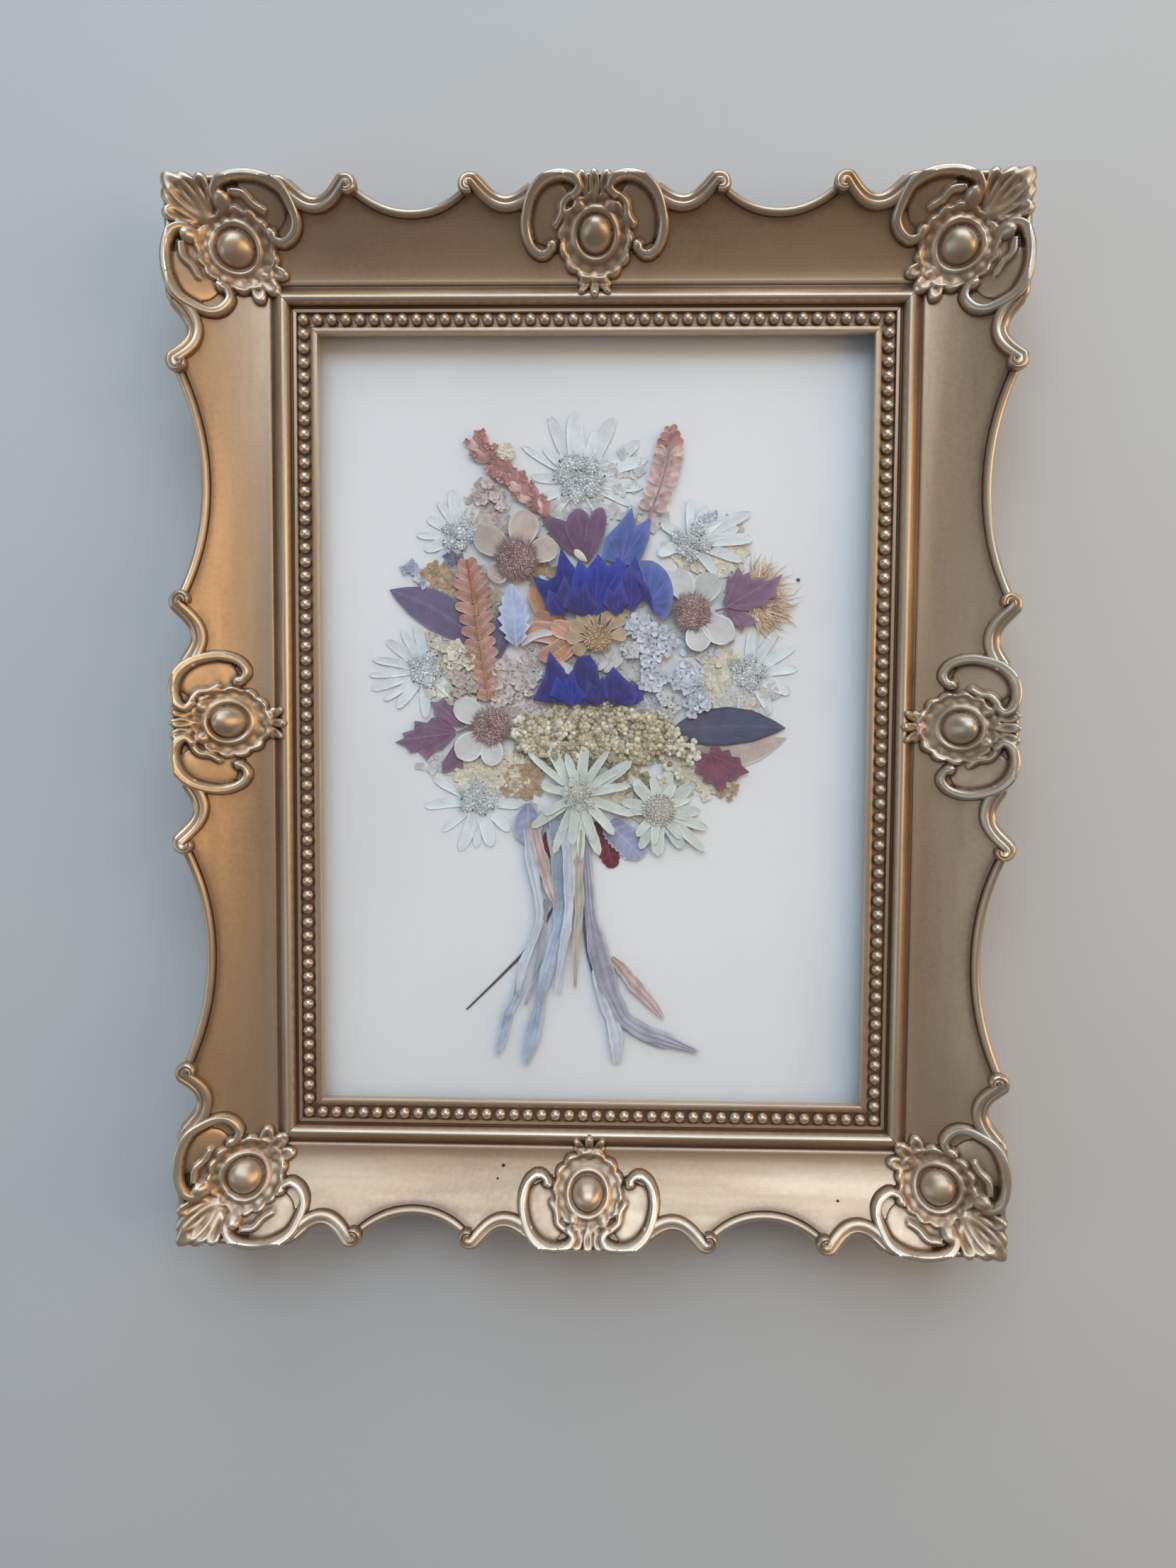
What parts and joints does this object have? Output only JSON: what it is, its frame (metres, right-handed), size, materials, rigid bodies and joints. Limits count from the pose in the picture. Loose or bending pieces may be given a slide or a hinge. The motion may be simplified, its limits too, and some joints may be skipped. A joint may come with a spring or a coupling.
{
  "type": "pressed flower frame",
  "caption": "Bouquet of pressed dried flowers on white card behind glass, in a gilt picture frame with swept edges, beaded sight edge and scrolled ornaments.",
  "frame": {"origin": "middle of the frame's flat back, on the surface it lies on", "axes": "+X to the picture's right, +Y to the picture's top, +Z out of the picture's face"},
  "size_m": [0.182, 0.231, 0.0245],
  "materials": {
    "gilt_wood": "antique gold paint over wood, satin, brown glaze in the hollows",
    "gilt_composition": "antique gold paint over cast composition, satin, worn high spots",
    "picture_glass": "clear flat picture glass, 2 mm",
    "white_card": "off-white mounting card, matt",
    "backing_board": "brown pressed board, matt",
    "tab_steel": "bent sheet steel",
    "hanger_brass": "brassed sheet steel",
    "edelweiss_felt": "dried woolly white petals, matt",
    "white_petal": "dried translucent white petals",
    "beige_petal": "dried beige petals, brown centre",
    "heather_pink": "dried coral-pink florets",
    "fern_salmon": "dried salmon fern sprig",
    "plum_petal": "dried purple-brown petals and leaves",
    "cornflower_blue": "dried ultramarine ray florets",
    "lavender_leaf": "dried silvery lavender leaves",
    "orange_petal": "dried orange-brown petals",
    "tan_petal": "dried tan petals and straw-coloured florets",
    "grey_floret": "dried grey-white florets",
    "maroon_leaf": "dried maroon lobed leaves",
    "slate_leaf": "dried dark slate leaf",
    "red_leaf": "dried dark red leaf",
    "stem_grey": "dried grey-lavender stems",
    "stem_salmon": "dried salmon stem",
    "stem_dark": "dried dark thin stalk"
  },
  "bodies": {
    "root": {"rail_top": "gilt_wood", "ornament_top": "gilt_composition", "tab_top": "tab_steel", "rail_left": "gilt_wood", "ornament_left": "gilt_composition", "tab_left": "tab_steel", "rail_bottom": "gilt_wood", "ornament_bottom": "gilt_composition", "tab_bottom": "tab_steel", "rail_right": "gilt_wood", "ornament_right": "gilt_composition", "tab_right": "tab_steel", "corner_top_left": "gilt_composition", "corner_top_right": "gilt_composition", "corner_bottom_left": "gilt_composition", "corner_bottom_right": "gilt_composition", "glass": "picture_glass", "card": "white_card", "backing_board": "backing_board", "hanger": "hanger_brass", "edelweiss_top": "edelweiss_felt", "edelweiss_upper_left": "edelweiss_felt", "edelweiss_left": "edelweiss_felt", "edelweiss_bottom_left": "edelweiss_felt", "edelweiss_upper_right": "edelweiss_felt", "edelweiss_right": "edelweiss_felt", "tan_fibres_right": "tan_petal", "heather_sprig": "heather_pink", "fern_sprig_right": "fern_salmon", "beige_flower": "beige_petal", "purple_petals": "plum_petal", "blue_floret": "cornflower_blue", "cornflower_upper": "cornflower_blue", "plum_leaf": "plum_petal", "salmon_frond": "fern_salmon", "silver_leaf": "lavender_leaf", "orange_petals": "orange_petal", "tan_daisy": "tan_petal", "cornflower_lower": "cornflower_blue", "grey_florets_upper": "grey_floret", "grey_florets_lower": "grey_floret", "white_flower_right": "white_petal", "maroon_leaf_right": "maroon_leaf", "beige_florets": "tan_petal", "pink_florets": "grey_floret", "maroon_leaf_left": "maroon_leaf", "white_flower_left": "white_petal", "cream_umbel": "tan_petal", "slate_leaf": "slate_leaf", "maroon_leaf_lower": "maroon_leaf", "edelweiss_front": "edelweiss_felt", "button_flower": "edelweiss_felt", "lavender_leaf": "lavender_leaf", "serrated_leaf": "lavender_leaf", "red_leaf": "red_leaf", "stem_salmon": "stem_salmon", "stem_left": "stem_grey", "stem_thin": "stem_dark", "stem_centre": "stem_grey", "stem_right": "stem_grey"}
  },
  "joints": []
}
